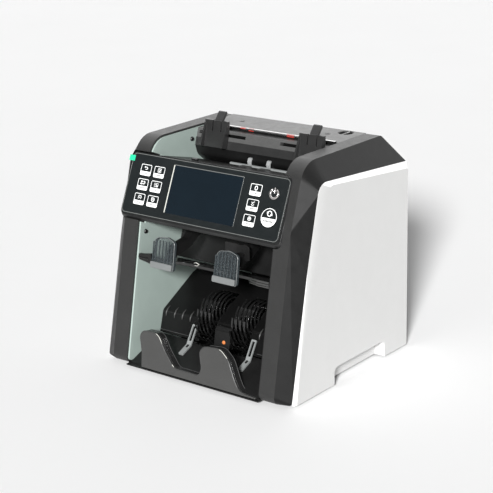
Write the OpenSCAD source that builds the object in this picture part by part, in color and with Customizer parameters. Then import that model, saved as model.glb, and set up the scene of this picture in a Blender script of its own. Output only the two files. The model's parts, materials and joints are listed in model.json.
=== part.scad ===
// Two-pocket banknote counter: an assembly of named pieces, in millimetres.
// +X is the operator's right, -Y is the front, +Z is up.
// The origin is on the floor, under the middle of the machine.

/* [Body] */

// Width across the two white side panels
body_w = 290; // [270:1:320]

// Height of the flat top above the floor
body_h = 279; // [260:1:300]

// Half the depth from the front foot of the posts to the back
half_d = 128.2; // [120:0.1:140]

// Thickness of the rubber feet
foot_h = 4; // [2:0.5:8]

// Half the width of the opening between the front posts
open_x = 103; // [95:0.5:108]

// Half the distance between the front arrises of the posts
post_x = 125; // [115:0.5:130]

/* [Control panel] */

// Lean of the panel back from upright, in degrees
panel_tilt = 23.8; // [15:0.1:35]

// Side of a rectangular key
key_w = 17; // [12:0.5:20]

// Height of a rectangular key
key_h = 14.2; // [10:0.2:18]

// Clearance round each key
key_gap = 0.35; // [0.2:0.05:0.6]

// Radius of the round restart key
restart_r = 11.6; // [8:0.2:14]

// Radius of the power key
power_r = 7.3; // [5:0.1:9]

/* [Hopper] */

// Width of each note guide
guide_w = 36; // [28:1:42]

// Left note guide centre at rest
guide_lx = -66.6; // [-75:0.1:-50]

// Right note guide centre at rest
guide_rx = 78; // [60:0.1:79]

// Feed roller radius
feed_r = 15.5; // [12:0.5:18]

/* [Reject pocket] */

// Left stop centre
stop_lx = -58.2; // [-70:0.1:-40]

// Right stop centre
stop_rx = 38.4; // [30:0.1:60]

// Width of each clear stop
stop_w = 35.5; // [30:0.5:44]

/* [Stacker] */

// Stacker wheel radius to the finger tips
wheel_r = 37.5; // [30:0.5:38]

// Distance of the right wheel from the middle
wheel_x = 29; // [27:0.5:34]

// Distance of the left wheel from the middle
wheel_lx = 25; // [22:0.5:30]

// Width of a stacker wheel
wheel_w = 22; // [16:1:24]

// Fingers on each wheel
fingers = 14; // [8:1:18]

// Shaft radius
shaft_r = 4; // [3:0.5:6]

// Running clearance of a shaft in its bearing
run_gap = 0.05; // [0.02:0.01:0.10]

/* [Quality] */

// Facets on round parts
fn_round = 48; // [24:4:96]

// Node to build

/* [Hidden] */
$fn = fn_round;
hw = body_w / 2;
hd = half_d;
z0 = foot_h;
e = 0.2;
feed_c = [4, 226];
stk_c = [-38, 50];
arm_c = [-40, 176];
arm_r = 3;

// Turns a list of corners and radii into a rounded outline.
function unit(v) = v / norm(v);
function corner(a, b, c, r, n) =
  let (u = unit(a - b), w = unit(c - b), g = acos(u * w), t = r / tan(g / 2),
       p = b + u * t, q = b + w * t, o = b + unit(u + w) * (r / sin(g / 2)),
       s = atan2(p[1] - o[1], p[0] - o[0]), f = atan2(q[1] - o[1], q[0] - o[0]),
       d = ((f - s + 540) % 360) - 180)
  [for (i = [0:n]) o + r * [cos(s + d * i / n), sin(s + d * i / n)]];
function outline(v, n = 5) = let (m = len(v))
  [for (i = [0:m - 1]) each v[i][2] <= 0 ? [[v[i][0], v[i][1]]] :
    corner([v[(i + m - 1) % m][0], v[(i + m - 1) % m][1]], [v[i][0], v[i][1]],
           [v[(i + 1) % m][0], v[(i + 1) % m][1]], v[i][2], n)];

// Side profile of the black frame, and of the edge of the white panel.
P = outline([[-128.7, z0, 10], [-89.5, 202.5, 60], [-62, body_h, 30],
  [97.5, body_h, 9], [hd, 243, 10], [hd, z0, 4]], 6);
Q = outline([[-116.5, z0, 3], [-83.5, 155, 80], [-57, 256.5, 16], [hd, 243.2, 5], [hd, z0, 3]], 5);
Qin = outline([[-110.2, z0, 2], [-77, 131, 60], [-43, 250.5, 13], [hd - 1.5, 234.5, 4], [hd - 1.5, z0, 2]], 5);
// Inside of the frame ring at the post and at the white panel.
PI = outline([[-106, 14, 6], [-67.5, 202, 30], [-48, 247, 14], [-12, 262, 20], [88, 264, 8], [115, 236, 8], [115, 14, 5]], 4);
QI = outline([[-103, 14, 6], [-72, 155, 40], [-47, 243, 12], [119, 231, 6], [119, 14, 5]], 4);

// Extrudes a side-on outline across the machine from x0 to x1.
module yz(x0, x1) { translate([x0, 0, 0]) rotate([90, 0, 90]) linear_extrude(x1 - x0) children(); }
// Places panel parts: x across, y up the face, z out of the face.
module on_panel() { translate([0, -90.2, 192.7]) rotate([90 - panel_tilt, 0, 0]) children(); }
// Places parts on the leaning front face: x across, y up the face, z out of it.
front_a = atan(0.1974);
module on_front() { translate([0, -128.9, 4]) rotate([90 - front_a, 0, 0]) children(); }
module rrect(x0, x1, y0, y1, r) {
  polygon(outline([[x0, y0, r], [x1, y0, r], [x1, y1, r], [x0, y1, r]], 6));
}
module barx(c, r, x0, x1) { translate([x0, c[0], c[1]]) rotate([0, 90, 0]) cylinder(r = r, h = x1 - x0); }

// ---- Case ----
module base_pan() color([0.1, 0.1, 0.1]) difference() {
  union() {
    translate([-102.8, -124.1, z0]) cube([205.6, 249.9, 2.4]);
    translate([-102.8, -hd, z0]) cube([205.6, 6, 1.7]);
  }
  for (x = [-70:20:70]) translate([x - 4, 40, z0 - 1]) cube([8, 60, 5]);
}

module feet() color([0.12, 0.12, 0.12])
  for (x = [-116, 116], y = [-96, 106]) translate([x, y, 0]) {
    cylinder(r1 = 8, r2 = 9, h = 1);
    translate([0, 0, 1]) cylinder(r = 9, h = z0 - 1.05);
  }

module grip_cut(g = 0) yz(130 - g, 160) polygon(outline([[-33.5 - g, -5, 0], [-33.5 - g, 25.5 + g, 7 + g],
  [76 + g, 25.5 + g, 7 + g], [76 + g, -5, 0]], 5));

module side_panel() difference() {
  union() {
    difference() {
      hull() { yz(139, 143) polygon(Q); yz(144.8, hw) polygon(Qin); }
      yz(138, 142.3) polygon(outline([[-107, z0 + 7, 4], [-76, 155, 40], [-50, 243, 12], [122, 233, 6], [122, z0 + 7, 4]], 4));
    }
    yz(127.6, 143) polygon(outline([[-36, z0, 0], [-36, 28, 9], [78.5, 28, 9], [78.5, z0, 0]], 5));
  }
  grip_cut();
}
module side_panel_right() color([0.9, 0.9, 0.89]) side_panel();
module side_panel_left() color([0.9, 0.9, 0.89]) mirror([1, 0, 0]) side_panel();

module frame_half() difference() {
  hull() { yz(open_x, post_x) polygon(P); yz(142.8, 143) polygon(Q); }
  hull() { yz(open_x - 1, 117) polygon(PI); yz(138.8, 150) polygon(QI); }
  yz(138.8, 150) polygon(outline([[-116.75, -5, 0], [-116.75, z0, 0], [-83.75, 155, 80], [-57.2, 256.75, 16], [hd + 5, 243.2, 0], [hd + 5, -5, 0]], 5));
  translate([127.4, -36.2, -5]) cube([30, 114.9, 33.3]);
}
module frame_right() color([0.2, 0.2, 0.2]) difference() {
  frame_half();
  on_panel() translate([0, 0, -12.6]) linear_extrude(50) rrect(60, 114, -11, 73.2, 8);
}
module frame_left() color([0.2, 0.2, 0.2]) difference() {
  mirror([1, 0, 0]) frame_half();
  on_panel() translate([0, 0, -12.6]) linear_extrude(50) rrect(-138.6, -60, -11, 73.2, 4);
}

module side_plate() difference() {
  yz(100.5, 102.7) polygon(outline([[-125.5, 8.5, 4], [-86.8, 203, 50], [-59.6, 276.4, 28],
    [36, 276.4, 0], [38, 274, 0], [94.5, 274, 4], [124.8, 241.5, 6], [124.8, 8.5, 3]], 5));
  on_panel() translate([90, -12, -12.4]) cube([30, 86, 60]);
  barx(feed_c, shaft_r + run_gap, 95, 110);
  barx(stk_c, shaft_r + run_gap, 95, 110);
  barx(arm_c, arm_r + 0.05, 95, 110);
  for (s = [[9.8, 263.7], [-84, 166.2]]) barx(s, 1.6, 95, 110);
}
module side_plate_right() color([0.6, 0.66, 0.63]) side_plate();
module side_plate_left() color([0.6, 0.66, 0.63]) mirror([1, 0, 0]) side_plate();

module plate_screws() color([0.15, 0.15, 0.15])
  for (m = [0, 1]) mirror([m, 0, 0]) for (s = [[9.8, 263.7], [-84, 166.2]])
    translate([100.4, s[0], s[1]]) rotate([0, -90, 0]) difference() {
      union() { cylinder(r1 = 3, r2 = 2.2, h = 1.4); translate([0, 0, -2]) cylinder(r = 1.5, h = 2.5); }
      translate([0, 0, 0.6]) { translate([-1.8, -0.35, 0]) cube([3.6, 0.7, 2]); translate([-0.35, -1.8, 0]) cube([0.7, 3.6, 2]); }
    }

module rear_cover() color([0.12, 0.12, 0.12]) difference() {
  yz(-102.8, 102.8) polygon(concat(
    outline([[hd, 6.8, 0], [hd, 243, 10], [98.2, 278.2, 0]], 6),
    outline([[95.6, 275.2, 0], [hd - 3.1, 241.5, 7], [hd - 3.1, 6.8, 0]], 6)));
  for (i = [0:9]) translate([-80 + i * 9, 120, 150]) cube([4.5, 20, 50]);
  for (i = [0:9]) translate([-1 + i * 9, 120, 150]) cube([4.5, 20, 50]);
  translate([-74.2, 120, 24.8]) cube([28.4, 20, 24.4]);
}

module mains_inlet() color([0.08, 0.08, 0.08]) difference() {
  union() {
    translate([-74, 106, 25]) cube([28, 22.1, 24]);
    translate([-76.5, 122.9, 22.5]) cube([33, 1.9, 29]);
  }
  difference() {
    translate([0, 135, 0]) rotate([90, 0, 0]) linear_extrude(22) polygon([[-72, 28], [-48, 28], [-48, 40], [-52, 46], [-68, 46], [-72, 40]]);
    for (p = [[-60, 40], [-65, 34], [-55, 34]]) translate([p[0] - 1, 112, p[1] - 2]) cube([2, 14, 4]);
  }
}

module top_cover() color([0.4, 0.4, 0.4]) difference() {
  yz(-102.6, 102.6) polygon([[40.5, 274.4], [40.5, 277.6], [41.3, 278.1], [97, body_h], [94.8, 275.4]]);
  translate([81, 86, 270]) cylinder(r = 9.9, h = 20);
  for (x = [-67, 65]) translate([x, 70.5, 270]) cylinder(r = 1.7, h = 20);
  for (x = [-67, 65]) translate([x, 70.5, 277.6]) cylinder(r = 3.6, h = 5);
}

module cover_screws() color([0.1, 0.1, 0.1])
  for (x = [-67, 65]) translate([x, 70.5, 268]) difference() {
    union() { cylinder(r = 1.5, h = 9.8); translate([0, 0, 9.65]) cylinder(r1 = 3.3, r2 = 2.6, h = 1.1); }
    translate([-2, -0.4, 10.1]) cube([4, 0.8, 2]);
    translate([-0.4, -2, 10.1]) cube([0.8, 4, 2]);
  }

module adjust_knob() color([0.1, 0.1, 0.1]) translate([81, 86, 0]) difference() {
  union() { translate([0, 0, 270.5]) cylinder(r = 9.6, h = 7.9); translate([0, 0, 262]) cylinder(r = 3, h = 9); }
  translate([0, 0, 276.6]) difference() { cylinder(r = 8.4, h = 4); translate([-1.9, -10, -1]) cube([3.8, 20, 6]); }
}

// ---- Hopper ----
module hopper_block() color([0.13, 0.13, 0.13]) difference() {
  yz(-100.2, 100.2) polygon(concat([[22.5, 276.3], [15.5, 255]],
    outline([[15.6, 255, 0], [19, 243, 14], [31, 233, 0]], 4), [[44, 233], [44, 269.5], [33.5, 269.5], [33.5, 276.3]]));
  for (s = [-1, 1]) translate([s > 0 ? 29.5 : -97, 10, 269.8]) cube([s > 0 ? 67.5 : 73.5, 18, 3.6]);
  for (x = [-14.5, 14.5]) translate([x - 4, 10, 236]) cube([8, 14.5, 14]);
}

module guide_rail() color([0.8, 0.8, 0.8]) difference() {
  yz(-100.2, 100.2) polygon([[35, 269.8], [38.6, 269.8], [38.6, 277.4], [35, 277.4]]);
}

// A note guide: plate with three forks, a tall tab, and a tongue in the slot.
module note_guide(cx) translate([cx, 0, 0]) {
  difference() {
    union() {
      yz(-guide_w / 2, guide_w / 2) polygon([[11, 257], [14, 257], [21.8, 281], [21.8, 289.5], [18.7, 289.5]]);
      yz(-guide_w / 2, -guide_w / 2 + 2.5) polygon([[4, 259], [13, 257], [20, 282], [17, 286]]);
      yz(guide_w / 2 - 2.5, guide_w / 2) polygon([[4, 259], [13, 257], [20, 282], [17, 286]]);
    }
    for (x = [-5.1, 8.1]) yz(x - 0.85, x + 0.85) polygon([[0, 276], [40, 276], [40, 300], [0, 300]]);
  }
  yz(-4.2, 7.2) polygon([[18.7, 286.9], [21.8, 285], [31.7, 297], [30.5, 299.4], [28.5, 299]]);
  yz(-9, 9) polygon([[17.3, 270.3], [26.5, 270.3], [26.5, 272.9], [18.2, 272.9]]);
}
module guide_left() color([0.12, 0.12, 0.12]) note_guide(guide_lx);
module guide_right() color([0.12, 0.12, 0.12]) note_guide(guide_rx);

module hopper_floor() color([0.14, 0.14, 0.14]) difference() {
  yz(-100.2, 100.2) polygon([[-49, 253], [-44, 253.4], [10.5, 239.6], [10.5, 236.6], [-46, 250.2], [-49, 250.2]]);
  for (x = [-14.5, 14.5]) translate([x - 7.5, -16, 228]) cube([15, 40, 22]);
}

module feed_lip() color([0.75, 0.76, 0.75]) difference() {
  yz(-41.5, 45.5) polygon([[10.8, 236], [14.2, 236], [14.2, 240.8], [13.2, 241.7], [10.8, 241.1]]);
  for (x = [-14.5, 14.5]) barx(feed_c, feed_r + 0.5, x - 7.6, x + 7.6);
}

module throat_guides() color([0.85, 0.85, 0.85]) for (x = [-14.5, 14.5])
  yz(x - 2.8, x + 2.8) polygon([[22, 249.4], [17.2, 248.5], [15.2, 244.5], [16.2, 239], [17.4, 239], [17.4, 243.8], [18.8, 246.6], [22, 247.4]]);

module feed_shaft() color([0.7, 0.7, 0.7]) barx(feed_c, shaft_r, -102.6, 113.5);
module feed_rollers() color([0.15, 0.15, 0.15]) for (x = [-14.5, 14.5]) difference() {
  union() { barx(feed_c, feed_r, x - 6, x + 6); barx(feed_c, 7, x - 6.8, x + 6.8); }
  barx(feed_c, shaft_r, x - 10, x + 10);
}
module motor(c) {
  difference() { barx(c, 18, 113.8, 135); barx(c, 16, 133.5, 136); }
  barx(c, 5, 133.4, 136.6);
}
module feed_motor() color([0.5, 0.5, 0.52]) motor(feed_c);

// ---- Control panel ----
module key_hole(x, y, d) translate([x, y, -d]) linear_extrude(d + 5)
  rrect(-key_w / 2 - key_gap, key_w / 2 + key_gap, -key_h / 2 - key_gap, key_h / 2 + key_gap, 1.6);
kx = [-108, -86.7, 61.5];
ky = [51.2, 33.1, 14.9];
res_c = [88.2, 22.5];
pow_c = [88.2, 50.5];
module all_key_holes(d) {
  for (x = kx, y = ky) key_hole(x, y, d);
  translate([res_c[0], res_c[1], -d]) cylinder(r = restart_r + key_gap, h = d + 5);
  translate([pow_c[0], pow_c[1], -d]) cylinder(r = power_r + key_gap, h = d + 5);
}

module panel_housing() color([0.13, 0.14, 0.14]) on_panel() difference() {
  hull() {
    translate([0, 0, -12]) linear_extrude(8) rrect(-135, 113, -10, 72.4, 7);
    translate([0, 0, -2]) linear_extrude(1.1) rrect(-134, 110.5, -7, 72, 6);
  }
  all_key_holes(4.6);
  translate([0, 0, -3.4]) linear_extrude(9) rrect(-65.8, 40.8, 4.0, 63.8, 1.5);
  translate([0, 0, -13]) linear_extrude(7) rrect(-120, 98, 2, 60, 3);
}

module panel_overlay() color([0.14, 0.16, 0.17]) on_panel() difference() {
  translate([0, 0, -0.8]) linear_extrude(0.8) rrect(-133.6, 107.5, -4.6, 71, 6);
  all_key_holes(4.6);
  translate([0, 0, -3]) linear_extrude(9) rrect(-65.8, 40.8, 4.0, 63.8, 1.5);
}

module display_glass() color([0.1, 0.14, 0.2]) on_panel()
  translate([0, 0, -3.2]) linear_extrude(3.0) rrect(-65.6, 40.6, 4.2, 63.6, 1.3);

module film_tab() color([0.1, 0.75, 0.5]) on_panel()
  translate([-138.5, 60, 0.06]) cube([9, 7, 0.3]);

module key(x, y) color([0.1, 0.1, 0.1]) on_panel() translate([x, y, -3.9]) linear_extrude(4.3)
  rrect(-key_w / 2, key_w / 2, -key_h / 2, key_h / 2, 1.3);
module key_a1() key(kx[0], ky[0]);
module key_a2() key(kx[0], ky[1]);
module key_a3() key(kx[0], ky[2]);
module key_b1() key(kx[1], ky[0]);
module key_b2() key(kx[1], ky[1]);
module key_b3() key(kx[1], ky[2]);
module key_c1() key(kx[2], ky[0]);
module key_c2() key(kx[2], ky[1]);
module key_c3() key(kx[2], ky[2]);
module key_restart() color([0.1, 0.1, 0.1]) on_panel() translate([res_c[0], res_c[1], -3.9]) cylinder(r = restart_r, h = 4.3);
module key_power() color([0.7, 0.7, 0.7]) on_panel() translate([pow_c[0], pow_c[1], -3.9]) {
  cylinder(r = power_r, h = 4.0);
  translate([0, 0, 3.9]) cylinder(r1 = power_r - 0.3, r2 = power_r - 1.4, h = 0.6);
}

// ---- Note path and reject pocket ----
module scanner_upper() color([0.1, 0.1, 0.1]) yz(-100.2, 100.2)
  polygon([[-72, 187.5], [-52, 203.5], [72, 203.5], [72, 187.5]]);

module scanner_lower() color([0.1, 0.1, 0.1]) yz(-100.2, 100.2)
  polygon([[-4, 187.2], [72, 187.2], [72, 100.5], [22, 100.5], [-27.5, 119.5]]);

module pocket_floor() color([0.12, 0.12, 0.12]) difference() {
  yz(-100.2, 100.2) polygon([[-98.5, 141.8], [-94.5, 141.4], [-80, 133.6], [-28.4, 118.2], [-28.4, 114.8], [-80, 129.4], [-97.6, 134.4], [-100, 137]]);
  translate([0, 0, 90]) linear_extrude(80) polygon(outline([[-84, -120, 0], [-84, -88, 6], [-50, -66, 20], [50, -66, 20], [84, -92, 22], [84, -120, 0]], 6));
}

module stop_shaft() color([0.7, 0.7, 0.7]) barx(arm_c, arm_r, -102.6, 102.6);

// A clear stop: ribbed plate with a thicker lower lip.
module stop(cx) translate([cx, -104.2, 130]) rotate([-front_a, 0, 0]) {
  rotate([90, 0, 0]) linear_extrude(1.8) polygon(outline([[-stop_w / 2, 0, 3], [stop_w / 2, 0, 3], [stop_w / 2 - 1, 36, 6], [5, 40, 10], [-stop_w / 2 + 4, 37.5, 8]], 5));
  for (i = [0:6]) translate([-stop_w / 2 + 3 + i * (stop_w - 6) / 6 - 0.5, -3, 6]) cube([1, 1.3, i == 0 || i == 6 ? 26 : 29]);
  translate([-stop_w / 2 + 1, -4, 0.6]) cube([stop_w - 2, 2.3, 5.6]);
}
module stop_left() color([0.8, 0.85, 0.9, 0.5]) stop(stop_lx);
module stop_right() color([0.8, 0.85, 0.9, 0.5]) stop(stop_rx);

module arm(cx) difference() {
  union() {
    barx(arm_c, 6.5, cx - 6, cx + 6);
    yz(cx - 5, cx + 5) polygon(outline([[-101.98, 141, 0], [-99.2, 141, 0], [-92, 147, 5], [-66, 152, 12], [-36, 170.6, 0], [-38, 181, 0], [-46, 179.6, 4], [-70, 163.5, 14], [-92, 160, 8], [-99.6, 153, 0]], 4));
  }
  barx(arm_c, arm_r + run_gap, cx - 10, cx + 10);
}
module arm_left() color([0.1, 0.1, 0.1]) arm(stop_lx + 10);
module arm_right() color([0.1, 0.1, 0.1]) arm(stop_rx + 6);

// ---- Stacker ----
module wheel_cut(g) for (c = [-wheel_lx, wheel_x])
  barx(stk_c, wheel_r + g, c - wheel_w / 2 - 1.5, c + wheel_w / 2 + 1.5);

module stacker_ramp() color([0.1, 0.1, 0.1]) difference() {
  yz(-100.2, 100.2) polygon(concat(
    outline([[-66.5, 29.6, 0], [-58.5, 57, 7], [2, 90, 20], [22, 96, 0]], 5),
    outline([[22, 92.8, 0], [3.5, 87.4, 20], [-56, 55, 5], [-63.4, 29.6, 0]], 5)));
  wheel_cut(2.5);
}

module centre_column() color([0.1, 0.1, 0.1]) difference() {
  yz(-7.6, 16.2) polygon(outline([[-67.2, 30.4, 0], [-72.5, 30.4, 0], [-68.5, 53, 4], [-64, 57.2, 3], [-59.4, 56.4, 0]], 4));
  translate([7, -80, 39]) rotate([-90, 0, 0]) cylinder(r = 2.6, h = 12);
}
module sensor_lens() color([1, 0.6, 0.2]) translate([7, -71.6, 39]) rotate([-90, 0, 0]) {
  cylinder(r1 = 1.7, r2 = 2.4, h = 0.9);
  translate([0, 0, 0.9]) cylinder(r = 2.4, h = 2.6);
}

module stripper_guides() color([0.6, 0.62, 0.62]) for (x = [-43.5, 49]) {
  translate([x, -93.2, 18.75]) rotate([22.8, 0, 0]) linear_extrude(2) rrect(-3.6, 3.6, 0, 20, 1.2);
  translate([x, -76, 26.4]) rotate([58.2, 0, 0]) difference() {
    linear_extrude(2) rrect(-3.6, 3.6, 0, 26.2, 1.2);
    translate([0, 0, -1]) linear_extrude(4) rrect(-2.1, 2.1, 5, 24, 1);
  }
}

module stacker_shaft() color([0.7, 0.7, 0.7]) barx(stk_c, shaft_r, -102.6, 113.5);

// Curved finger of a stacker wheel, side on.
function fin(a, r0, r1, w) = [for (i = [0:4]) let (t = i / 4, r = r0 + (r1 - r0) * t, g = a - 58 * t * t) [r * cos(g), r * sin(g)]];
module wheel(cx) translate([cx - wheel_w / 2, stk_c[0], stk_c[1]]) difference() {
  union() {
    rotate([90, 0, 90]) cylinder(r = 11, h = wheel_w);
    for (k = [0:fingers - 1]) rotate([90, 0, 90]) for (z = [0, 5.3, 10.6, 15.9, 20.5]) translate([0, 0, z])
      linear_extrude(1.5) let (a = k * 360 / fingers, u = fin(a, 10.5, wheel_r, 0), v = fin(a - 7, 10.5, wheel_r - 1.2, 0))
        polygon(concat(u, [for (i = [4:-1:0]) v[i] * (1 - 0.0 * i)]));
  }
  rotate([90, 0, 90]) translate([0, 0, -5]) cylinder(r = shaft_r, h = wheel_w + 10);
}
module wheel_left() color([0.1, 0.1, 0.1]) wheel(-wheel_lx);
module wheel_right() color([0.1, 0.1, 0.1]) wheel(wheel_x);
module stacker_motor() color([0.5, 0.5, 0.52]) motor(stk_c);

module tray_floor() color([0.1, 0.1, 0.1]) difference() {
  yz(-100.2, 100.2) polygon([[-123.4, 7], [-99.4, 15.8], [-68, 29], [-66.9, 26.2], [-98.5, 12.8], [-117, 6.8], [-123.4, 6.8]]);
  wheel_cut(2.5);
}

module tray_front() color([0.35, 0.35, 0.35]) on_front() translate([0, 0, -4]) linear_extrude(3.5)
  polygon(outline([[-78.6, 2.8, 0], [-80.5, 24, 20], [-87, 48.5, 9], [-57, 49.5, 15], [-43, 30, 16],
    [-27, 12.5, 13], [12.5, 12, 6.5], [15, 22, 12], [7.5, 47.6, 10], [40, 51, 18], [54, 40, 24],
    [66, 18, 16], [74, 6.4, 14], [98, 4.8, 0], [98, 2.8, 0]], 6));

module power_supply() color([0.6, 0.6, 0.6]) translate([-137, -10, 45]) cube([30, 100, 50]);

base_pan();
feet();
side_panel_left();
side_panel_right();
frame_left();
frame_right();
side_plate_left();
side_plate_right();
plate_screws();
rear_cover();
mains_inlet();
top_cover();
cover_screws();
adjust_knob();
hopper_block();
guide_rail();
guide_left();
guide_right();
hopper_floor();
feed_lip();
throat_guides();
feed_shaft();
feed_rollers();
feed_motor();
panel_housing();
panel_overlay();
display_glass();
film_tab();
key_a1();
key_a2();
key_a3();
key_b1();
key_b2();
key_b3();
key_c1();
key_c2();
key_c3();
key_restart();
key_power();
scanner_upper();
scanner_lower();
pocket_floor();
stop_shaft();
stop_left();
stop_right();
arm_left();
arm_right();
stacker_ramp();
centre_column();
sensor_lens();
stripper_guides();
stacker_shaft();
wheel_left();
wheel_right();
stacker_motor();
tray_floor();
tray_front();
power_supply();
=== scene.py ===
import bpy, bmesh, math, random, json
from mathutils import Vector, Matrix


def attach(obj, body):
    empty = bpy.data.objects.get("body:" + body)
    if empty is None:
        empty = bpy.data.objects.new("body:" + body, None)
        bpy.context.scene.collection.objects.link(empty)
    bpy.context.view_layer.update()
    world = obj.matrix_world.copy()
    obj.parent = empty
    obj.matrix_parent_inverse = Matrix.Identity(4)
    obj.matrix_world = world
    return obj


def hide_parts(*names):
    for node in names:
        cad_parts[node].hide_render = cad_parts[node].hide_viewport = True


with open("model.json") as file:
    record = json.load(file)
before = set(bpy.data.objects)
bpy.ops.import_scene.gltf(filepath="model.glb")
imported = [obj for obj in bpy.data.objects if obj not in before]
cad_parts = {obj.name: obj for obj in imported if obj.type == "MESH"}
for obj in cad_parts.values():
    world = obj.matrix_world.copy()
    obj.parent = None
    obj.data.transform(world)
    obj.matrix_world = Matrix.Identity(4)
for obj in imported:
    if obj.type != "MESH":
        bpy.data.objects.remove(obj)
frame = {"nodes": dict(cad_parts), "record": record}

random.seed(7)
S = bpy.context.scene
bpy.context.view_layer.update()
rec = frame["record"]
NODE_BODY = {n: b for b, ns in rec["behaviour"]["bodies"].items() for n in ns}
mm = 0.001


# ---------------------------------------------------------------- outlines
def corner(a, b, c, r, n):
    a, b, c = Vector(a), Vector(b), Vector(c)
    u, w = (a - b).normalized(), (c - b).normalized()
    g = math.acos(max(-1, min(1, u.dot(w))))
    t = r / math.tan(g / 2)
    p, q = b + u * t, b + w * t
    o = b + (u + w).normalized() * (r / math.sin(g / 2))
    s = math.atan2(p.y - o.y, p.x - o.x)
    f = math.atan2(q.y - o.y, q.x - o.x)
    d = (f - s + 3 * math.pi) % (2 * math.pi) - math.pi
    return [(o.x + r * math.cos(s + d * i / n), o.y + r * math.sin(s + d * i / n)) for i in range(n + 1)]


def outline(v, n=6):
    m, out = len(v), []
    for i in range(m):
        if v[i][2] <= 0:
            out.append((v[i][0], v[i][1]))
        else:
            out += corner(v[i - 1][:2], v[i][:2], v[(i + 1) % m][:2], v[i][2], n)
    return out


def rrect(x0, x1, y0, y1, r, n=6):
    return outline([(x0, y0, r), (x1, y0, r), (x1, y1, r), (x0, y1, r)], n)


def circle(x, y, r, n=48, ry=None):
    ry = ry or r
    return [(x + r * math.cos(2 * math.pi * i / n), y + ry * math.sin(2 * math.pi * i / n)) for i in range(n)]


def arc(x, y, r, a0, a1, n=24):
    return [(x + r * math.cos(math.radians(a0 + (a1 - a0) * i / n)), y + r * math.sin(math.radians(a0 + (a1 - a0) * i / n))) for i in range(n + 1)]


# Places, in millimetres: straight, on the control panel, on the leaning front.
def T0(x, y, z):
    return (x, y, z)


def TP(x, y, z):
    return (x, -90.2 + y * 0.403545 - z * 0.914960, 192.7 + y * 0.914960 + z * 0.403545)


def TF(x, y, z):
    return (x, -128.9 + y * 0.193661 - z * 0.981069, 4 + y * 0.981069 + z * 0.193661)


def TX(a, b, x):          # a side-on outline (Y, Z) pushed along X
    return (x, a, b)


# ---------------------------------------------------------------- geometry
def g_prism(pts, z0, z1, T=T0):
    n = len(pts)
    v = [T(p[0], p[1], z0) for p in pts] + [T(p[0], p[1], z1) for p in pts]
    f = [list(range(n))[::-1], list(range(n, 2 * n))] + [[i, (i + 1) % n, n + (i + 1) % n, n + i] for i in range(n)]
    return v, f


def g_ring(outer, inner, z0, z1, T=T0):
    n = len(outer)
    v = [T(p[0], p[1], z) for z in (z0, z1) for ring in (outer, inner) for p in ring]
    f = []
    for i in range(n):
        j = (i + 1) % n
        f += [[i, j, n + j, n + i], [2 * n + i, 3 * n + i, 3 * n + j, 2 * n + j],
              [i, 2 * n + i, 2 * n + j, j], [n + i, n + j, 3 * n + j, 3 * n + i]]
    return v, f


def g_box(x0, x1, y0, y1, z0, z1, T=T0):
    return g_prism([(x0, y0), (x1, y0), (x1, y1), (x0, y1)], z0, z1, T)


def stroke(path, w, closed=False):
    """An outline of constant width round a 2D path."""
    n = len(path)
    left, right = [], []
    for i in range(n):
        a = Vector(path[i - 1] if (i > 0 or closed) else path[i])
        b = Vector(path[i])
        c = Vector(path[(i + 1) % n] if (i < n - 1 or closed) else path[i])
        d1 = (b - a).normalized() if (b - a).length > 1e-9 else (c - b).normalized()
        d2 = (c - b).normalized() if (c - b).length > 1e-9 else d1
        t = (d1 + d2).normalized() if (d1 + d2).length > 1e-6 else d1
        nrm = Vector((-t.y, t.x))
        k = w / 2 / max(0.5, nrm.dot(Vector((-d1.y, d1.x))))
        left.append(tuple(b + nrm * k))
        right.append(tuple(b - nrm * k))
    return left, right


def g_stroke(path, w, z0, z1, T=T0, closed=False):
    l, r = stroke(path, w, closed)
    if closed:
        return g_ring(l, r, z0, z1, T)
    n = len(l)
    v = [T(p[0], p[1], z) for z in (z0, z1) for side in (l, r) for p in side]
    f = []
    for i in range(n - 1):
        j = i + 1
        f += [[i, j, n + j, n + i], [2 * n + i, 3 * n + i, 3 * n + j, 2 * n + j],
              [i, 2 * n + i, 2 * n + j, j], [n + i, n + j, 3 * n + j, 3 * n + i]]
    f += [[0, n, 3 * n, 2 * n], [n - 1, 3 * n - 1, 4 * n - 1, 2 * n - 1][:1] + [n - 1 + 2 * n, n - 1 + 3 * n, n - 1 + n]]
    return v, f


def g_tube(path, r, n=12, closed=False):
    """A round tube along a 3D path."""
    P = [Vector(p) for p in path]
    m = len(P)
    rad = r if isinstance(r, (list, tuple)) else [r] * m
    v, f = [], []
    up = Vector((0, 0, 1))
    t0 = (P[1] - P[0]).normalized()
    if abs(t0.dot(up)) > 0.95:
        up = Vector((1, 0, 0))
    u = t0.cross(up).normalized()
    for i in range(m):
        if closed:
            t = (P[(i + 1) % m] - P[i - 1]).normalized()
        else:
            t = (P[min(i + 1, m - 1)] - P[max(i - 1, 0)]).normalized()
        u = (u - t * u.dot(t)).normalized()
        w = t.cross(u)
        for k in range(n):
            a = 2 * math.pi * k / n
            v.append(tuple(P[i] + (u * math.cos(a) + w * math.sin(a)) * rad[i]))
    last = m if closed else m - 1
    for i in range(last):
        for k in range(n):
            a, b = i * n + k, i * n + (k + 1) % n
            c, d = ((i + 1) % m) * n + (k + 1) % n, ((i + 1) % m) * n + k
            f.append([a, b, c, d])
    if not closed:
        f += [list(range(n))[::-1], list(range((m - 1) * n, m * n))]
    return v, f


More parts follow.
